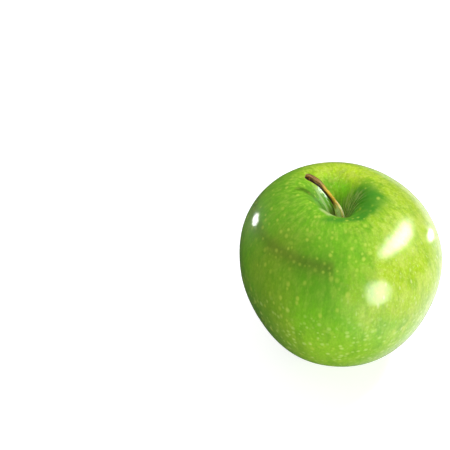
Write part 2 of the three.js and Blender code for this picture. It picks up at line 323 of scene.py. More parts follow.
# %% Nodes and arithmetic
class Nodes:
    """The shader nodes of one material, light or world. Masks are numbers from 0 to 1."""

    def __init__(self, tree):
        self.tree = tree

    def fill(self, made, sockets):
        """Links a node's sockets to other nodes' outputs, and sets those that get a plain value."""
        for socket, value in sockets.items():
            if isinstance(value, bpy.types.NodeSocket):
                self.tree.links.new(value, made.inputs[socket])
            else:
                made.inputs[socket].default_value = value

    def node(self, kind, sockets, **options):
        made = self.tree.nodes.new("ShaderNode" + kind)
        for option, value in options.items():
            setattr(made, option, value)
        self.fill(made, sockets)
        return made

    def chain(self, operation, terms):
        """One Math node after another, each of which takes in one more term."""
        total = terms[0]
        for term in terms[1:]:
            total = self.node("Math", {0: total, 1: term}, operation=operation).outputs[0]
        return total

    def add(self, *terms):
        return self.chain("ADD", terms)

    def less(self, *terms):
        return self.chain("SUBTRACT", terms)

    def both(self, *masks):
        return self.chain("MULTIPLY", masks)

    def either(self, *masks):
        return self.chain("MAXIMUM", masks)

    def report(self, made):
        print(f"{made}: {len(self.tree.nodes)} nodes in this graph")


print("steps of arithmetic: add, less, both, either")


# %% Masks, colours and noise
class Graph(Nodes):
    """The same nodes, with a short word for each step of a finish."""

    def mask(self, value, low, high, strength=1.0):
        """0 where value is at low, strength where it is at high, and smooth between."""
        sockets = {"Value": value, "From Min": low, "From Max": high, "To Max": strength}
        return self.node("MapRange", sockets, interpolation_type="SMOOTHSTEP").outputs["Result"]

    def blend(self, first, second, share, kind="MIX"):
        """The first colour with a share of the second over it."""
        sockets = {0: share, 6: first, 7: second}
        return self.node("Mix", sockets, data_type="RGBA", blend_type=kind).outputs[2]

    def lay(self, colour, *layers):
        """A colour with layers over it, one after another, each a second colour and its share."""
        for second, share in layers:
            colour = self.blend(colour, second, share)
        return colour

    def place(self):
        """Where a point lies on the object, in millimetres."""
        return self.stretch(self.node("TexCoord", {}).outputs["Object"], 1 / MM, 1 / MM, 1 / MM)

    def split(self, vector):
        return self.node("SeparateXYZ", {0: vector}).outputs

    def stretch(self, vector, *scales):
        return self.node("VectorMath", {0: vector, 1: scales}, operation="MULTIPLY").outputs[0]

    def distance(self, vector, spot):
        return self.node("VectorMath", {0: vector, 1: spot}, operation="DISTANCE").outputs["Value"]

    def carried(self, label, socket="Fac"):
        """A number, or a vector, that the mesh carries for each point."""
        return self.node("Attribute", {}, attribute_name=label).outputs[socket]

    def noise(self, vector, size, detail=2.0, roughness=0.5, drawn_out=1.0):
        """Noise from 0 to 1 with blotches about size wide, and so many times as long in z."""
        drawn = self.stretch(vector, 1, 1, 1 / drawn_out)
        sockets = {"Vector": drawn, "Scale": 1 / size, "Detail": detail, "Roughness": roughness}
        return self.node("TexNoise", sockets).outputs[0]

    def ragged(self, value, blotches, depth):
        """The same value, pushed up and down by noise, so that a mask made from it has a ragged edge."""
        return self.add(value, self.both(self.less(blotches, 0.5), depth))

    def bump(self, height, depth, strength):
        """Small relief in the shading, depth millimetres high."""
        sockets = {"Height": height, "Distance": depth * MM, "Strength": strength}
        return self.node("Bump", sockets).outputs[0]


def new_finish(name):
    """A new material, with the graph of its nodes and its main shader."""
    material = bpy.data.materials.new(name)
    material.use_nodes = True
    return material, Graph(material.node_tree), material.node_tree.nodes["Principled BSDF"]


print("steps of a finish: mask, blend, lay, stretch, distance, noise, ragged, bump")

# %% [markdown]
# ## The skin's finish
#
# The skin isn't one green. It is yellower on the cheek that the sun reached and round the back of the
# shoulder, and paler towards the base. It is deeper in the stem cavity, and dull olive where a faint
# blush lies over the green. A darker green patch lies on the front left. The lower left flank is
# painted a deeper green as painted shade. The far wall of the cavity is painted a brighter green,
# partly as painted light. A picture wrapped round the fruit would need a seam somewhere. Noise in
# space doesn't, so each layer of colour is a paint with a soft mask, and noise pushes the mask's edge
# about, since nothing on a fruit ends in a straight line.
#
# The masks read where a point lies. In millimetres, side is how far it lies to the right of the axis,
# back is how far behind it, from_axis is how far out from it, and height is over the floor. Down is
# its share of the way from the stem, at 0, to the calyx, at 1. Wrapped is its place on the skin when
# that is laid out as a cylinder.

# %% What the skin's masks read
peel_finish, peel, peel_shader = new_finish("waxy_green_skin")
place = peel.place()
side, back, height = peel.split(place)
wrapped = peel.carried("wrap", "Vector")
down = peel.carried("down")
from_axis = peel.carried("out")

upper_skin = peel.mask(down, 0.4, 0.3)
drifts = peel.noise(wrapped, 7, detail=3, roughness=0.55, drawn_out=1 / 0.35)


def patch(centre, outer, inner, blotches, depth, strength=1.0, squeeze=(1, 1, 1)):
    """A ragged patch round a place in millimetres: strength inside inner, nothing outside outer."""
    squeezed_centre = [at * scale for at, scale in zip(centre, squeeze)]
    away = peel.distance(peel.stretch(place, *squeeze), squeezed_centre)
    return peel.mask(peel.ragged(away, blotches, depth), outer, inner, strength)


def toward(degrees):
    """How far a point lies from the axis in one compass direction, where 0 is to the right."""
    angle = math.radians(degrees)
    return peel.add(peel.both(side, math.cos(angle)), peel.both(back, math.sin(angle)))


peel.report("what the masks read")

# %% Ground colours, and the side that the sun reached
GREEN = paint(122, 194, 32)
SUN_GREEN = paint(176, 212, 34)
BASE_GREEN = paint(154, 208, 46)

# The edge of the sunny side moves to the right towards the top, and further towards the base.
sun_edge = peel.add(peel.mask(height, 45, 66, 6), peel.mask(height, 52, 30, 15))
sun_side = peel.mask(peel.ragged(peel.less(side, sun_edge), drifts, 26), -6, 15)
sun_back = peel.mask(peel.ragged(back, drifts, 16), 5, 13)
sun_back = peel.both(sun_back, peel.mask(down, 0.4, 0.24), peel.mask(side, -24, -6))
sunny = peel.either(sun_side, sun_back)
toward_base = peel.mask(down, 0.48, 0.66, 0.8)

colour = peel.lay(GREEN, (SUN_GREEN, sunny), (BASE_GREEN, toward_base))
peel.report("ground colours")

# %% The blush, a darker patch, and painted shade on the flank
OLIVE = paint(136, 176, 44)
DEEP_GREEN = paint(94, 164, 30)
PAINTED_SHADE_GREEN = paint(70, 146, 50)
BLUSH_PLACE = (-23, -28, 50)
DARKER_PATCH_PLACE = (-9, -33, 56)

blush = patch(
    BLUSH_PLACE, outer=17, inner=6, blotches=drifts, depth=18, strength=0.68, squeeze=(1, 1, 0.2)
)
# A darker green patch on the front left.
darker_patch = patch(DARKER_PATCH_PLACE, outer=16, inner=4, blotches=drifts, depth=16, strength=0.65)
# Painted shade: the lower left flank, away from the light, is painted a deeper green. It reaches
# further in the lower it is, since the fruit narrows there.
lower_side = peel.less(side, peel.mask(height, 34, 12, 9))
painted_shade_flank = peel.both(peel.mask(lower_side, -17, -32), peel.mask(height, 48, 24), 0.6)
peel.report("blush and shade")

# %% Painted light on the far wall of the cavity
PAINTED_LIGHT_GREEN = paint(206, 238, 44)
PAINTED_LIGHT_VIVID_GREEN = paint(150, 238, 40)
BEHIND_STEM = (2, 13.5, 69)

# Painted light: the far wall behind the stem is painted a bright yellow green. This is partly its own
# colour and partly stands in for the light that the near lip keeps off it.
painted_light_far_wall = patch(
    BEHIND_STEM, outer=12, inner=4, blotches=drifts, depth=8, strength=0.75, squeeze=(0.6, 1, 1)
)
painted_light_wall_green = peel.blend(PAINTED_LIGHT_GREEN, PAINTED_LIGHT_VIVID_GREEN, peel.mask(height, 70, 66.5))

colour = peel.lay(
    colour,
    (painted_light_wall_green, painted_light_far_wall),
    (OLIVE, blush),
    (DEEP_GREEN, darker_patch),
    (PAINTED_SHADE_GREEN, painted_shade_flank),
)
peel.report("patches")

# %% [markdown]
# ### Streaks, dashes and mottling
#
# Seen close, the green is woven. The skin's cells lie in rows from stem to calyx, and the fruit grew
# faster than some of them could, so there are deeper streaks, pale fibres, short dashes round the
# shoulder, and flecks with a fine pale mottling that are strongest where the sun was. Painting them
# by hand would take days. Noise that is drawn out down the skin gives each kind at its own size.

# %% Streaks and fibres
FLECK = paint(206, 226, 92)

deeper = peel.noise(place, 4.5, detail=4, roughness=0.6, drawn_out=2.5)
fibres = peel.noise(wrapped, 0.9, detail=3, roughness=0.6, drawn_out=6.25)

colour = peel.lay(
    colour,
    (DEEP_GREEN, peel.mask(deeper, 0.46, 0.66, 0.36)),
    (FLECK, peel.mask(fibres, 0.5, 0.7, 0.1)),
)
peel.report("streaks and fibres")

# %% Dashes round the shoulder
dashes = peel.noise(wrapped, 1.5, drawn_out=0.6 / 0.35)
inner_edge, outer_edge = peel.mask(from_axis, 8, 14), peel.mask(from_axis, 32, 20)
shoulder = peel.both(inner_edge, outer_edge, peel.mask(down, 0.45, 0.35))

colour = peel.lay(
    colour,
    (FLECK, peel.both(shoulder, peel.mask(dashes, 0.48, 0.7, 0.3))),
    (DEEP_GREEN, peel.both(shoulder, peel.mask(dashes, 0.5, 0.34, 0.34))),
)
peel.report("dashes")

# %% Flecks and mottling, stronger in the sun
PALE_FLECK = paint(226, 238, 150)
FLECKS_IN_SHADE, FLECKS_FROM_SUN = 0.08, 0.34
MOTTLING_FROM_SUN = 0.4
DARKENING_IN_SHADE, DARKENING_FROM_SUN = 0.12, 0.04
MIDDLE_BRIGHTNESS = 0.99

flecks = peel.noise(place, 1.5, detail=4, roughness=0.65, drawn_out=1 / 0.35)
streaky = peel.noise(place, 3.4, detail=3, drawn_out=4)
mottle = peel.noise(place, 0.7, detail=3, roughness=0.7, drawn_out=1 / 0.6)
fleck_share = peel.add(peel.both(sunny, FLECKS_FROM_SUN), FLECKS_IN_SHADE)

colour = peel.lay(
    colour,
    (FLECK, peel.both(peel.mask(flecks, 0.48, 0.64), fleck_share)),
    (FLECK, peel.both(peel.mask(streaky, 0.48, 0.62), fleck_share)),
    (PALE_FLECK, peel.both(peel.mask(mottle, 0.6, 0.7), sunny, MOTTLING_FROM_SUN)),
)

darkening = peel.add(peel.both(sunny, DARKENING_FROM_SUN), DARKENING_IN_SHADE)
swing = peel.both(peel.less(peel.mask(mottle, 0.38, 0.62), 0.5), darkening)
colour = peel.blend(colour, peel.add(swing, MIDDLE_BRIGHTNESS), 1.0, kind="MULTIPLY")
peel.report("flecks and mottling")

# %% [markdown]
# ### Inside the stem cavity
#
# The cavity is out of the sun, so it is a deeper green, also over its front lip. Rays of cork run
# down into it, rough tan skin that grew where the wax split while the fruit swelled. Deep in the
# throat the cork is painted pale, partly as painted light where little light reaches. The throat
# round the stem is painted russet brown, partly russet and partly painted shade. Two pale streaks
# down the left side, one on the lip and one on the wall, are painted highlights. Between them, a
# deeper green on the left wall is the stem's painted shadow. The rest of the cavity's shade is left
# to the light.

# %% The deeper green, and the front lip
CAVITY_GREEN = paint(62, 148, 34)
CAVITY_PLACE = (6.8, -3.2, 0)
FUNNEL_PLACE = (CAVITY_SHIFT_X, CAVITY_SHIFT_Y, 0)
FROM_ABOVE = (1, 1, 0)
FRONT_RIGHT = -60

rays = peel.noise(wrapped, 2.3, detail=4, roughness=0.7, drawn_out=1 / 0.35)
cavity_floor = patch(
    CAVITY_PLACE, outer=12.5, inner=5, blotches=drifts, depth=6, squeeze=FROM_ABOVE
)
front_lip = patch(FUNNEL_PLACE, outer=19, inner=16, blotches=drifts, depth=4, squeeze=FROM_ABOVE)
front_lip = peel.both(front_lip, peel.mask(toward(FRONT_RIGHT), 9, 13))
in_cavity = peel.both(peel.either(cavity_floor, front_lip), upper_skin, 0.85)

colour = peel.blend(colour, CAVITY_GREEN, in_cavity)
peel.report("cavity green")

# %% Painted highlights, the stem's painted shadow and the throat's painted shade
PAINTED_HIGHLIGHT_GREEN = paint(214, 232, 160)
RUSSET_AND_SHADE = paint(90, 84, 38)
# Each painted highlight's compass direction in degrees, and how far it lies from the axis that way.
LIP_HIGHLIGHT_TURN, LIP_HIGHLIGHT_FROM_AXIS = 46.2, -12.0
WALL_HIGHLIGHT_TURN, WALL_HIGHLIGHT_FROM_AXIS = 50.5, -2.35
HIGHLIGHT_RAGGEDNESS = 1.2


def streak(degrees, from_middle, outer, inner, strength):
    """A ragged straight band of painted highlight that lies so far from the axis, square to a compass
    direction.
    """
    off_line = peel.node("Math", {0: peel.less(toward(degrees), from_middle)}, operation="ABSOLUTE")
    ragged_line = peel.ragged(off_line.outputs[0], rays, HIGHLIGHT_RAGGEDNESS)
    return peel.mask(ragged_line, outer, inner, strength)


along_lip = toward(LIP_HIGHLIGHT_TURN - 90)
# Painted highlight along the inner edge of the left lip.
lip_highlight_paint = streak(LIP_HIGHLIGHT_TURN, LIP_HIGHLIGHT_FROM_AXIS, outer=2.8, inner=0.9, strength=0.8)
lip_highlight_paint = peel.both(lip_highlight_paint, peel.mask(along_lip, 0.2, 2.5), peel.mask(along_lip, 7.2, 5.2))
# Painted shade in the throat, in a russet brown. Nothing keeps this shade to the cavity. It also
# tints a band outside it, on the left shoulder, from 62.5 mm over the floor down to where upper_skin
# ends.
throat_shade = peel.both(peel.mask(height, 62.5, 58.5, 0.75), peel.mask(side, -1, -3))
# Painted shadow: the stem's shadow on the cavity's left wall, as a deeper green. The same region also
# holds the wall's painted highlight.
left_wall = peel.both(peel.mask(side, -3, -7), peel.mask(peel.ragged(from_axis, drifts, 5), 15, 11))
# Painted highlight on the left wall, beside the stem.
wall_highlight_paint = streak(WALL_HIGHLIGHT_TURN, WALL_HIGHLIGHT_FROM_AXIS, outer=1.1, inner=0.4, strength=0.5)

colour = peel.lay(
    colour,
    (PAINTED_HIGHLIGHT_GREEN, peel.both(lip_highlight_paint, upper_skin)),
    (RUSSET_AND_SHADE, peel.both(throat_shade, upper_skin)),
    (CAVITY_GREEN, peel.both(left_wall, upper_skin, 0.4)),
    (PAINTED_HIGHLIGHT_GREEN, peel.both(left_wall, wall_highlight_paint, upper_skin)),
)
peel.report("pale streaks")

# %% Rays of cork
CORK_AND_PAINTED_LIGHT = paint(196, 204, 124)
DEEP_PLACE = (2.3, 0.8, 0)

# Deep in the throat the cork is painted pale, partly as painted light where little light reaches.
deep = patch(DEEP_PLACE, outer=6.2, inner=2.2, blotches=rays, depth=5, squeeze=FROM_ABOVE)
deep = peel.both(deep, upper_skin)
colour = peel.lay(
    colour,
    (CORK_AND_PAINTED_LIGHT, peel.both(deep, peel.mask(rays, 0.54, 0.44, 0.62))),
    (RUSSET_AND_SHADE, peel.both(deep, peel.mask(rays, 0.52, 0.6, 0.8))),
)
peel.report("rays")

# %% [markdown]
# ### Lenticels
#
# These are the pale dots through which the fruit breathes: few and large on the cheeks, more and
# smaller towards the base, small on the rim of the cavity, and mere glints on the sunny side. Beads
# set on the skin would stand out from it. A cell texture gives every point in space its distance to
# the nearest of many scattered centres. The skin cuts through those cells, so a centre that lies near
# it shows as a dot, and one further off as a smaller dot or none, which is just the uneven scatter
# that is wanted. Each layer is masked to its own belt of the fruit.

# %% Lenticel layers
DOT = paint(206, 226, 84)
PALE_DOT = paint(210, 235, 122)
LEAST_REACH, MORE_REACH = 0.6, 0.6
DOT_CORE = 0.25


def dots(squeeze, spacing, radius, belt, seed):
    """Soft round dots with their centres about spacing apart, kept to a belt of the skin."""
    squeezed = peel.stretch(place, *squeeze)
    offset = (seed, 2 * seed, -seed)
    moved = peel.node("VectorMath", {0: squeezed, 1: offset}, operation="ADD").outputs[0]
    cells = peel.node("TexVoronoi", {"Vector": moved, "Scale": 1 / spacing, "Randomness": 0.85})
    chance, size, _ = peel.node("SeparateColor", {0: cells.outputs["Color"]}).outputs
    reach = peel.add(peel.both(size, MORE_REACH), LEAST_REACH)
    from_centre = peel.chain("DIVIDE", (cells.outputs["Distance"], reach))
    dot = peel.mask(from_centre, radius / spacing, DOT_CORE * radius / spacing)
    return peel.both(dot, peel.mask(chance, 0.05, 0.6), belt)


cheek_belt = peel.both(peel.mask(down, 0.3, 0.4), peel.mask(down, 0.95, 0.6, 0.8))
base_belt = peel.mask(down, 0.44, 0.6)
rim_belt = peel.both(peel.mask(down, 0.42, 0.32), peel.mask(from_axis, 5, 11))
sunny_belt = peel.both(sunny, peel.mask(down, 0.24, 0.4))

cheek_dots = dots((1, 1, 0.7), spacing=3.0, radius=1.15, belt=cheek_belt, seed=11)
base_dots = dots((1, 1, 0.9), spacing=2.2, radius=1.1, belt=base_belt, seed=41)
rim_dots = dots((1, 0.8, 1), spacing=2.3, radius=0.95, belt=rim_belt, seed=23)
glints = dots((1, 1, 0.4), spacing=1.9, radius=0.6, belt=sunny_belt, seed=53)

colour = peel.lay(
    colour,
    (DOT, peel.both(peel.either(cheek_dots, rim_dots), 0.62)),
    (PALE_DOT, peel.both(base_dots, 0.62)),
    (PALE_FLECK, peel.both(glints, 0.7)),
)
peel.report("lenticels")

# %% [markdown]
# ### Wax
#
# Apple skin has two glosses at once. The skin itself is only satin, which spreads a broad pale sheen
# round each light. On top lies a thin wax that mirrors the light sharply. The shader's coat layer is
# that wax. A fine bump breaks the edge of each reflection, as the cells of real skin do.

# %% Gloss and bump of the skin
SKIN_RELIEF, WAX_RELIEF, RELIEF_STRENGTH = 0.06, 0.085, 0.6

pores = peel.noise(place, 0.5)
all_dots = peel.either(cheek_dots, base_dots, rim_dots)
grain = peel.add(
    peel.both(pores, 0.2), peel.both(fibres, 0.2), peel.both(mottle, 0.6), peel.both(all_dots, 0.2)
)
peel.fill(peel_shader, {
    "Base Color": colour,
    "Roughness": 0.5,
    "Specular IOR Level": 0.08,
    "Subsurface Weight": 0.18,
    "Subsurface Radius": (1.0, 1.4, 0.3),
    "Subsurface Scale": 1.2 * MM,
    "Coat Weight": 0.6,
    "Coat Roughness": 0.1,
    "Coat IOR": 1.45,
    "Normal": peel.bump(grain, SKIN_RELIEF, RELIEF_STRENGTH),
    "Coat Normal": peel.bump(grain, WAX_RELIEF, RELIEF_STRENGTH),
})
apple.data.materials.append(peel_finish)
peel.report("the whole skin")

# %% [markdown]
# ## The stem
#
# The stem is the woody stalk that held the apple to its twig. It leaves the cavity nearly upright,
# bends over to one side, is slim in the middle and swells again to the knob where it broke off. It is
# ridged along its length. A curve with a bevel could be drawn instead, but then the ridges would need
# a displacement. Here each ring is placed across a smooth line, with its own radius at each angle.

# %% The stem's line
STEM_LINE = np.array([
    (0.0, 0.0, -2.4), (0.0, 0.0, 0.6), (-0.7, 0.0, 3.1), (-2.0, 0.1, 7.3), (-3.8, 0.35, 10.4),
    (-6.4, 0.8, 13.8), (-9.3, 1.4, 17.0), (-12.3, 2.0, 18.8), (-14.5, 2.5, 19.4),
])
STEM_STEPS = 220
STEPS_BETWEEN_POINTS = 60


def smooth_line(points, steps):
    """A smooth curve through points, as evenly spaced steps along it, and its length."""
    ends = [2 * points[0] - points[1], *points, 2 * points[-1] - points[-2]]
    t = np.linspace(0, 1, STEPS_BETWEEN_POINTS, endpoint=False)[:, None]
    stretches = []
    for a, b, c, d in zip(ends, ends[1:], ends[2:], ends[3:]):
        slope = (c - a) * t
        bend = (2 * a - 5 * b + 4 * c - d) * t**2
        turn_back = (3 * b - 3 * c + d - a) * t**3
        stretches.append(0.5 * (2 * b + slope + bend + turn_back))
    dense = np.concatenate([*stretches, [points[-1]]])
    gaps = np.linalg.norm(np.diff(dense, axis=0), axis=1)
    length = np.concatenate([[0], np.cumsum(gaps)])
    even = np.linspace(0, length[-1], steps + 1)
    line = np.stack([np.interp(even, length, dense[:, axis]) for axis in range(3)], -1)
    return line, length[-1]


cavity_floor_level = skin_points(np.array(0.0), np.array(0.0))[2] - stand_level
stem_line, stem_length = smooth_line(STEM_LINE + (0, 0, cavity_floor_level), STEM_STEPS)
print(f"stem: {stem_length:.1f} mm long, from {cavity_floor_level:.1f} mm over the floor")


# %% Rings across a line
def directions(line):
    tangent = np.gradient(line, axis=0)
    return tangent / np.linalg.norm(tangent, axis=1, keepdims=True)


def sweep(line, radius, sides):
    """Rings across a line. radius(share, angle) gives the distance of each point from the line."""
    angle = -np.arange(sides) * FULL_TURN / sides
    tangent = directions(line)
    across = np.cross(tangent[0], (0.0, 1.0, 0.0))
    rings = []
    for step, direction in enumerate(tangent):
        across = across - direction * (across @ direction)
        across /= np.linalg.norm(across)
        up = np.cross(direction, across)
        reach = radius(step / (len(line) - 1), angle)[:, None]
        spoke = np.cos(angle)[:, None] * across + np.sin(angle)[:, None] * up
        rings.append(line[step] + reach * spoke)
    return np.array(rings)


def shares_along(rings):
    """For each point of the rings, its share of the way from the first ring to the last."""
    return np.linspace(0, 1, len(rings))[:, None] * np.ones(rings.shape[1])


print("steps along the stem:", len(stem_line))

# %% The stem's radius
STEM_ROOT_RADIUS, STEM_NECK_RADIUS, STEM_KNOB_RADIUS = 1.65, 0.86, 1.2
# These spans are shares of the stem's length. The waves are shares of its radius.
NECK_SPAN, KNOB_SPAN = (0.18, 0.55), (0.66, 0.86)
BROKEN_END_SPAN, BROKEN_END_ROUNDING = (0.955, 1), 0.3
FIVE_RIDGES, RIDGE_DRIFT = 0.07, 1.4
KNOB_PINCH, PINCH_SPAN = 0.12, (0.86, 0.98)
FINE_RIDGES, FINE_RIDGE_HEIGHT = (7, 11, 16, 23), 0.22
BARK_RING_HEIGHT, BARK_RING_WAVES = 0.012, (130, 17)
RIDGES_AT_ROOT, RIDGES_FROM_LENGTH = 0.5, 0.7

ridge_starts = draw.uniform(0, FULL_TURN, len(FINE_RIDGES))


def stem_radius(share, angle):
    neck = (STEM_NECK_RADIUS - STEM_ROOT_RADIUS) * fade(share, *NECK_SPAN)
    knob = (STEM_KNOB_RADIUS - STEM_NECK_RADIUS) * fade(share, *KNOB_SPAN)
    rounding = 1 - BROKEN_END_ROUNDING * fade(share, *BROKEN_END_SPAN)
    ridges = FIVE_RIDGES * np.cos(5 * angle + RIDGE_DRIFT * share)
    ridges += KNOB_PINCH * fade(share, *PINCH_SPAN) * np.cos(2 * angle + 1)
    for crests, start in zip(FINE_RIDGES, ridge_starts):
        drift = start + 3 * math.sin(4 * share + start)
        ridges += FINE_RIDGE_HEIGHT / crests * np.cos(crests * angle + drift)
    close_wave, slow_wave = (math.sin(pace * share) for pace in BARK_RING_WAVES)
    bark_rings = BARK_RING_HEIGHT * close_wave * slow_wave
    growing = RIDGES_AT_ROOT + RIDGES_FROM_LENGTH * share
    return (STEM_ROOT_RADIUS + neck + knob) * rounding * (1 + ridges * growing + bark_rings)


middle = stem_radius(0.6, np.zeros(1))[0]
print(f"stem radius: {STEM_ROOT_RADIUS} mm at the root, {middle:.2f} mm past the middle")

# %% Build the stem
STEM_SIDES = 72

stem_rings = fit_box(sweep(stem_line, stem_radius, STEM_SIDES), "stem")
shares = shares_along(stem_rings)
angles = np.arange(STEM_SIDES) * FULL_TURN / STEM_SIDES * np.ones((STEM_STEPS + 1, 1))
bark_place = np.stack([np.cos(angles), np.sin(angles), shares * stem_length], -1)
stem_numbers = {"bark": bark_place, "share": shares}
stem = ring_piece("stem_bark", stem_rings, [stem_line[0], stem_line[-1]], stem_numbers)
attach(stem, "root")
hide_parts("stem")

# %% [markdown]
# ## The stem's finish
#
# Where it grows out of the fruit the stem is pale and still fresh, and its foot is painted almost
# white, partly as painted light for the cavity's shade round it. Above that it is gold and then ochre
# bark, with light and dark streaks along it, and the knob is red-brown. The side away from the key
# light is painted almost black as painted shade.
# A wood texture with rings would be wrong, since only the bark shows. The streaks come from noise
# drawn out along the stem, read from the numbers the mesh carries, so that they follow its bend.

# %% Ground colours of the bark
# The fresh foot's pale colour is pushed almost to white, partly as painted light, since it stands in the
# cavity's shade.
FRESH_FOOT_AND_PAINTED_LIGHT = paint(255, 255, 190)
GOLD = paint(240, 184, 24)
OCHRE = paint(166, 132, 50)
LIGHT_STREAK = paint(246, 214, 74)

bark_finish, bark, bark_shader = new_finish("dry_stem_bark")
grainwise = bark.carried("bark", "Vector")
share_along = bark.carried("share")
underneath = bark.split(grainwise)[0]
streaks = bark.noise(grainwise, 0.5, detail=4, roughness=0.65, drawn_out=1 / 0.07)
patches = bark.noise(grainwise, 1.0, detail=3, drawn_out=1 / 0.3)
wander = bark.ragged(share_along, patches, 0.25)

bark_colour = bark.lay(
    FRESH_FOOT_AND_PAINTED_LIGHT,
    (GOLD, bark.mask(wander, 0.34, 0.5)),
    (OCHRE, bark.mask(wander, 0.64, 0.8)),
    (LIGHT_STREAK, bark.mask(streaks, 0.54, 0.62, 0.75)),
)
bark.report("ground colours of the bark")

# %% Painted shade on one side, streaks and knob
PAINTED_SHADE_BROWN = paint(28, 18, 6)
DARK_STREAK = paint(44, 24, 10)
KNOB_BROWN = paint(70, 30, 30)
KNOB_STREAK = paint(182, 138, 84)
SPECK = paint(186, 104, 20)
BROKEN_WOOD = paint(196, 150, 132)

# Painted shade: from about a third of the way up, the side of the stem away from the key light is painted
# almost black.
painted_shade_side = bark.mask(bark.ragged(underneath, streaks, 1.2), -0.3, 0.1)
painted_shade_side = bark.both(painted_shade_side, bark.mask(share_along, 0.32, 0.52, 0.92))
dark_streaks = bark.both(bark.mask(streaks, 0.5, 0.42), bark.mask(share_along, 0.34, 0.56, 0.9))
knob_streaks = bark.both(bark.mask(share_along, 0.6, 0.9), bark.mask(streaks, 0.5, 0.6, 0.7))
specks = bark.noise(grainwise, 0.7)

bark_colour = bark.lay(
    bark_colour,
    (PAINTED_SHADE_BROWN, painted_shade_side),
    (DARK_STREAK, dark_streaks),
    (KNOB_BROWN, bark.mask(share_along, 0.8, 0.95, 0.72)),
    (KNOB_STREAK, knob_streaks),
    (SPECK, bark.mask(specks, 0.62, 0.7, 0.8)),
    (BROKEN_WOOD, bark.mask(share_along, 0.992, 0.998, 0.8)),
)

bark.fill(bark_shader, {
    "Base Color": bark_colour,
    "Roughness": 0.55,
    "Specular IOR Level": 0.2,
    "Normal": bark.bump(streaks, depth=0.12, strength=0.8),
})
stem.data.materials.append(bark_finish)
bark.report("the whole bark")

# %% [markdown]
# ## The calyx
#
# Underneath, in the basin, sits what is left of the flower: five dried sepals that close over the
# opening and curl out at their tips, and inside them a tuft of dead stamens. Planes with a leaf
# picture on them would do from far off, but they have no thickness. Here a sepal is a thin solid
# blade, so its rings are flat: they run once round its two faces. It is rolled along its midrib and
# crumpled a little, each one differently.

# %% Dimensions of the calyx, in millimetres
CALYX_RADIUS, CALYX_DOME, CALYX_RIM = 3.3, 0.9, 1.3
SEPALS, SEPAL_HALF_WIDTH, SEPAL_THICKNESS, SEPAL_CUP = 5, 1.9, 0.34, 0.35
SEPAL_TIP_WIDTH, SEPAL_TAPER, SEPAL_ROOT_NARROWING = 0.1, 1.6, 0.25
SEPAL_EDGE_THINNING, SEPAL_EDGE_RIPPLE = 0.8, 0.06
SEPAL_LENGTH_SWING = 0.1
COARSE_CRUMPLE, FINE_CRUMPLE = 0.16, 0.1
SEPAL_LINE = np.array([(2.5, 0, -0.5), (3.0, 0, 0.9), (2.3, 0, 2.5), (2.5, 0, 3.8), (4.2, 0, 4.7)])
SEPAL_STEPS, SEPAL_FACE_POINTS = 40, 15
DOWNWARD = (1, 1, -1)
GOLDEN_ANGLE = math.pi * (3 - math.sqrt(5))

calyx_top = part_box("calyx")[1].z / MM
calyx_mouth = calyx_top - CALYX_RIM
print(f"calyx: {2 * CALYX_RADIUS:.1f} mm wide, its mouth {calyx_mouth:.1f} mm over the floor")


# %% The rings of a sepal
def sepal_rings(count):
    """The rings of one sepal, from its root to its curled tip, and the line they stand on."""
    length = 1 + SEPAL_LENGTH_SWING * math.sin(GOLDEN_ANGLE * count)
    hanging = SEPAL_LINE * DOWNWARD * (1, 1, length)
    line, _ = smooth_line(hanging + (0, 0, calyx_mouth), SEPAL_STEPS)
    tangent = directions(line)
    outward = np.stack([-tangent[:, 2], np.zeros(len(line)), tangent[:, 0]], -1)
    one_face = np.linspace(1, -1, SEPAL_FACE_POINTS)
    sideways = np.concatenate([one_face, -one_face])
    face = np.repeat([1, -1], SEPAL_FACE_POINTS)
    edge = SEPAL_THICKNESS / 2 * np.sqrt(1 - SEPAL_EDGE_THINNING * sideways**2)
    rings = []
    for step, (centre, out_way) in enumerate(zip(line, outward)):
        along = step / SEPAL_STEPS
        narrowing = 1 - SEPAL_ROOT_NARROWING * (1 - along) ** 2
        half = SEPAL_HALF_WIDTH * (1 - along**SEPAL_TAPER) * narrowing + SEPAL_TIP_WIDTH
        crumple = COARSE_CRUMPLE * np.sin(9 * along + 5 * sideways + 2 * count)
        crumple += FINE_CRUMPLE * np.cos(17 * along - 7 * sideways)
        inset = face * edge + SEPAL_CUP * sideways**2 * half + crumple * along
        ring = centre - inset[:, None] * out_way
        ring[:, 1] += sideways * half * (1 + SEPAL_EDGE_RIPPLE * np.sin(23 * along + count))
        rings.append(ring)
    return np.array(rings), line


def turn(points, angle):
    """Points turned about the vertical axis."""
    c, s = math.cos(angle), math.sin(angle)
    x, y, z = np.moveaxis(points, -1, 0)
    return np.stack([c * x - s * y, s * x + c * y, z], -1)


print("points in a sepal's ring:", 2 * SEPAL_FACE_POINTS)

# %% Build the sepals
calyx_pieces = []


def add_to_calyx(name, rings, tips, share):
    """A ring piece that belongs to the calyx, kept in a list until its finish is ready."""
    piece = ring_piece(name, rings, tips, {"share": share})
    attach(piece, "root")
    calyx_pieces.append(piece)
    return piece


for count in range(SEPALS):
    rings, line = sepal_rings(count)
    angle = FULL_TURN * count / SEPALS + RIB_AZIMUTH
    tips = turn(line[[0, -1]], angle)
    add_to_calyx(f"sepal_{count + 1}", turn(rings, angle), tips, shares_along(rings))

# %% The dome that the sepals stand on
DOME_RINGS, DOME_SIDES = 14, 60
DOME_PUCKERS, DOME_PUCKER_HEIGHT = 9, 0.08
FIRST_RING_ANGLE = 0.05

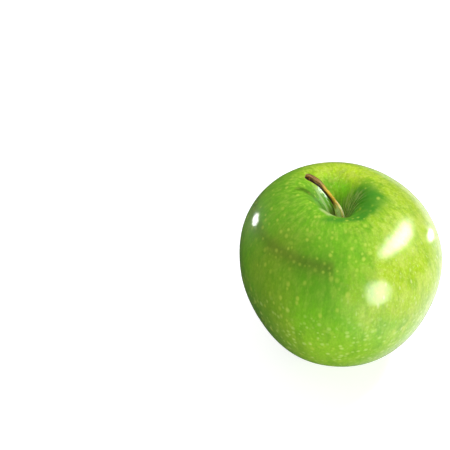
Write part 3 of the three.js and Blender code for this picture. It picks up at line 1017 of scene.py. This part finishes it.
dome_angle = np.linspace(FIRST_RING_ANGLE, math.pi / 2, DOME_RINGS)[:, None]
dome_turn = np.arange(DOME_SIDES) * FULL_TURN / DOME_SIDES
dome_out = CALYX_RADIUS * np.sin(dome_angle) * np.ones(DOME_SIDES)
dome_out += DOME_PUCKER_HEIGHT * np.sin(DOME_PUCKERS * dome_turn) * np.sin(2 * dome_angle)
dome_low = calyx_mouth - CALYX_DOME * np.cos(dome_angle) * np.ones(DOME_SIDES)
dome = np.stack([dome_out * np.cos(dome_turn), -dome_out * np.sin(dome_turn), dome_low], -1)
dome_rim = dome[-1:] * (1, 1, 0) + (0, 0, calyx_top)
dome = np.concatenate([dome, dome_rim])
dome_tips = [[0, 0, calyx_mouth - CALYX_DOME], [0, 0, calyx_top]]
# Its share is 0 all over, so that its finish is that of a sepal's root.
calyx_dome = add_to_calyx("calyx_dome", dome, dome_tips, np.zeros(dome.shape[:2]))
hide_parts("calyx")

# %% The stamens, a thread each with an anther at its tip
STAMENS, STAMEN_STEPS, STAMEN_SIDES = 18, 24, 10
STAMEN_SPACING = 0.36
STAMEN_LENGTH, LENGTH_SWING = 3.2, 0.5
STAMEN_BEND = 0.5
THREAD_RADIUS, ANTHER_SWELL = 0.09, 0.12


def stamen_radius(share, angle):
    anther = fade(share, 0.8, 0.9) * (1 - 0.7 * fade(share, 0.95, 1))
    return (THREAD_RADIUS + ANTHER_SWELL * anther) * np.ones(len(angle))


for count in range(STAMENS):
    root_out = STAMEN_SPACING * math.sqrt(count + 0.5)
    tall = STAMEN_LENGTH + LENGTH_SWING * math.sin(5 * count)
    bend = STAMEN_BEND * math.cos(3 * count)
    root = (root_out, 0, calyx_mouth)
    middle = (root_out * 1.05, bend * 0.2, calyx_mouth - 0.5 * tall)
    tip = (root_out * 0.7, bend, calyx_mouth - tall)
    line, _ = smooth_line(turn(np.array([root, middle, tip]), GOLDEN_ANGLE * count), STAMEN_STEPS)
    rings = sweep(line, stamen_radius, STAMEN_SIDES)
    add_to_calyx(f"stamen_{count + 1}", rings, line[[0, -1]], shares_along(rings))

# %% [markdown]
# ### The calyx's finish
#
# Dead sepals are like brown paper, with veins along them. They keep a touch of green at the root and
# are almost black at the curled tip. One finish serves all the pieces, since each mesh carries the
# share of the way from root to tip. A little sheen stands for the felt of fine hairs on them.

# %% Dry paper
DRY_BROWN = paint(70, 54, 36)
DRY_TAN = paint(138, 118, 84)
ROOT_GREEN = paint(122, 122, 70)
TIP_BROWN = paint(48, 34, 24)

husk_finish, husk, husk_shader = new_finish("dry_calyx")
veins = husk.noise(husk.place(), 0.5, detail=4, roughness=0.65, drawn_out=2.5)
toward_tip = husk.carried("share")

dry = husk.blend(DRY_BROWN, DRY_TAN, husk.mask(veins, 0.36, 0.62))
dry = husk.blend(ROOT_GREEN, dry, husk.mask(toward_tip, 0.0, 0.3, 0.6))
dry = husk.blend(dry, TIP_BROWN, husk.mask(toward_tip, 0.7, 1.0, 0.6))
husk.fill(husk_shader, {
    "Base Color": dry,
    "Roughness": 0.85,
    "Sheen Weight": 0.3,
    "Normal": husk.bump(veins, depth=0.1, strength=0.8),
})
for piece in calyx_pieces:
    piece.data.materials.append(husk_finish)
husk.report("calyx")

# %% [markdown]
# ## The floor
#
# The apple stands on a plain white floor, a wide disc. It has to look nearly white next to the fruit
# without a hard shadow, as on a light table. A very strong light from above would give that too, but
# it would burn out the fruit. So the floor is pale grey, glows a little by itself, and is hidden from
# reflections, from bounced light and from shadow rays.

# %% Floor
FLOOR_RADIUS, FLOOR_SIDES = 4, 96       # metres, since only the floor is this large
FLOOR_GREY = paint(180, 180, 179)
FLOOR_PALE_GREY = paint(186, 186, 186)
WHITE = (1, 1, 1, 1)
FLOOR_GLOW = 0.8

edge_angle = np.arange(FLOOR_SIDES) * FULL_TURN / FLOOR_SIDES
floor_edge = FLOOR_RADIUS * np.stack([np.cos(edge_angle), np.sin(edge_angle), 0 * edge_angle], -1)
floor_mesh = bpy.data.meshes.new("floor")
floor_mesh.from_pydata(floor_edge.tolist(), [], [list(range(FLOOR_SIDES))])
floor = bpy.data.objects.new("floor", floor_mesh)
bpy.context.scene.collection.objects.link(floor)

floor_finish, ground, floor_shader = new_finish("white_floor")
floor_tone = ground.noise(ground.node("TexCoord", {}).outputs["Object"], 0.5)
ground.fill(floor_shader, {
    "Base Color": ground.blend(FLOOR_GREY, FLOOR_PALE_GREY, floor_tone),
    "Roughness": 0.9,
    "Specular IOR Level": 0.1,
    "Emission Color": WHITE,
    "Emission Strength": FLOOR_GLOW,
})
floor.data.materials.append(floor_finish)
floor.visible_glossy = False
floor.visible_diffuse = False
floor.visible_shadow = False
print(f"floor: {2 * FLOOR_RADIUS} m across")

# %% [markdown]
# ## Light panels
#
# Glossy fruit is lit by what it mirrors. Each bright shape on the wax is the picture of a window or a
# soft panel, so each light is an oval panel placed by following the line of sight from the camera to
# the spot where its reflection should lie, and on from there as a mirror would send it. The helper
# takes that spot on the skin, the direction the light comes from, a distance and a size. Spot lamps
# would give round dots with no shape. One more panel, the key, gives the soft light and shade of the
# fruit itself, and is hidden from reflections so that it doesn't add a shape of its own.

# %% The panel helper
def compass(azimuth, elevation):
    """The unit vector that points that way, both given in degrees."""
    a, e = math.radians(azimuth), math.radians(elevation)
    return Vector((math.cos(a) * math.cos(e), math.sin(a) * math.cos(e), math.sin(e)))


def panel(name, spot, azimuth, elevation, distance, size, glow, roll=0.0, softness=0.5, fills=False):
    """An oval panel, seen from a spot on the apple in millimetres in a direction in degrees.

    Its distance and size are in metres. One that fills lights the fruit without being mirrored in
    it, and any other is only seen as a reflection.
    """
    light = bpy.data.lights.new(name, "AREA")
    light.shape = "RECTANGLE"
    light.size, light.size_y = size
    light.energy = glow * math.pi * size[0] * size[1]
    light.use_nodes = True
    screen = Graph(light.node_tree)
    across = screen.node("NewGeometry", {}).outputs["Parametric"]
    from_centre = screen.distance(across, (0.5, 0.5, 0))
    oval = screen.mask(from_centre, 0.5, 0.5 * (1 - softness))
    screen.fill(light.node_tree.nodes["Emission"], {"Strength": oval})
    way = compass(azimuth, elevation)
    lamp = bpy.data.objects.new(name, light)
    bpy.context.scene.collection.objects.link(lamp)
    lamp.location = Vector(spot) * MM + way * distance
    lamp.rotation_euler = way.to_track_quat("Z", "Y").to_euler()
    lamp.rotation_euler.rotate_axis("Z", math.radians(roll))
    lamp.visible_camera = False
    lamp.visible_diffuse = fills
    lamp.visible_glossy = not fills
    print(f"{name}: {light.energy:.2f} W")


# %% The panels
panel(
    "window_strip", spot=(20.2, -18.4, 63.4), azimuth=11, elevation=37, distance=0.6,
    size=(0.88, 0.21), glow=32, roll=-27, softness=0.6,
)
panel(
    "window_haze", spot=(23.4, -19.4, 61.6), azimuth=14, elevation=30, distance=0.65,
    size=(1.3, 0.8), glow=0.9, roll=-27, softness=1.0,
)
panel(
    "low_panel", spot=(14.9, -35, 50.4), azimuth=-47.5, elevation=1.5, distance=0.35,
    size=(0.2, 0.3), glow=19, softness=0.45,
)
panel(
    "back_left", spot=(-31.6, -8, 58.8), azimuth=139, elevation=-4, distance=0.3,
    size=(0.07, 0.045), glow=36, roll=36, softness=0.4,
)
panel(
    "back_right", spot=(33.4, -5.9, 56), azimuth=48, elevation=-9, distance=0.3,
    size=(0.14, 0.031), glow=24, roll=-38,
)
panel(
    "key", spot=(0, 0, 60), azimuth=34, elevation=50, distance=1.0,
    size=(0.24, 0.24), glow=73.3, fills=True,
)

# %% [markdown]
# ## The room
#
# The rest of the light comes from the room itself, which is the world's background. Three kinds of
# ray look at it, and each should see something else: the camera sees plain white, the satin skin is
# lit softly from in front, as a white floor would light it, and from above, and the wax mirrors a
# dark room with a pale table, so that the panels' reflections stand out. A picture of a real room
# would do all three at once, but then none of them could be tuned without the others. The light path
# node tells the rays apart.

# %% Soft light for the skin
world = bpy.data.worlds.new("studio")
bpy.context.scene.world = world
world.use_nodes = True
room = Graph(world.node_tree)
way = room.node("TexCoord", {}).outputs["Generated"]
way_side, _, way_up = room.split(way)


def glow_from(azimuth, elevation, tightness, strength):
    """Soft light from one side of the room: strength in that direction, and less round it."""
    toward_glow = {0: way, 1: compass(azimuth, elevation)}
    closeness = room.node("VectorMath", toward_glow, operation="DOT_PRODUCT").outputs["Value"]
    fall = room.both(room.less(closeness, 1.0), tightness)
    glow = room.node("Math", {0: fall}, operation="EXPONENT").outputs[0]
    return room.both(glow, strength)


front_glow = glow_from(azimuth=-63, elevation=-14, tightness=5.0, strength=3.15)
upper_glow = glow_from(azimuth=152, elevation=61, tightness=3.4, strength=1.3)
skin_light = room.add(front_glow, upper_glow)
room.report("soft light")

# %% What the wax mirrors, and what the camera sees
DARK_ROOM = 0.05

table = room.both(
    room.mask(way_up, 0.0, -0.3), room.mask(way_up, -1.0, -0.75), room.mask(way_side, -0.05, 0.4, 1.8)
)
mirrored = room.add(table, DARK_ROOM)
ray = room.node("LightPath", {}).outputs
seen = room.lay(skin_light, (mirrored, ray["Is Glossy Ray"]), (WHITE, ray["Is Camera Ray"]))
room.fill(world.node_tree.nodes["Background"], {"Color": seen})
room.report("the whole room")

# %% [markdown]
# ## The camera
#
# The apple is seen from in front and above, so that both its round side and its stem cavity show. A
# wide lens close by would make the near cheek bulge. This one is long and stands more than half a
# metre away, which keeps the fruit's true outline.

# %% Camera
CAMERA_PLACE = Vector((0.0, -479.2, 396.3)) * MM
CAMERA_PITCH, CAMERA_YAW = math.radians(35.57), math.radians(5.28)
FOCAL_PIXELS, FRAME_PIXELS = 1555.6, 450
SENSOR_WIDTH = 36

camera = bpy.data.objects.new("camera", bpy.data.cameras.new("camera"))
bpy.context.scene.collection.objects.link(camera)
camera.location = CAMERA_PLACE
camera.rotation_euler = (math.pi / 2 - CAMERA_PITCH, 0, CAMERA_YAW)
camera.data.sensor_width = SENSOR_WIDTH
camera.data.lens = FOCAL_PIXELS / FRAME_PIXELS * SENSOR_WIDTH
camera.data.clip_start, camera.data.clip_end = 0.01, 20
bpy.context.scene.camera = camera
bpy.context.scene.view_settings.view_transform = "Standard"
print(f"lens: {camera.data.lens:.1f} mm")
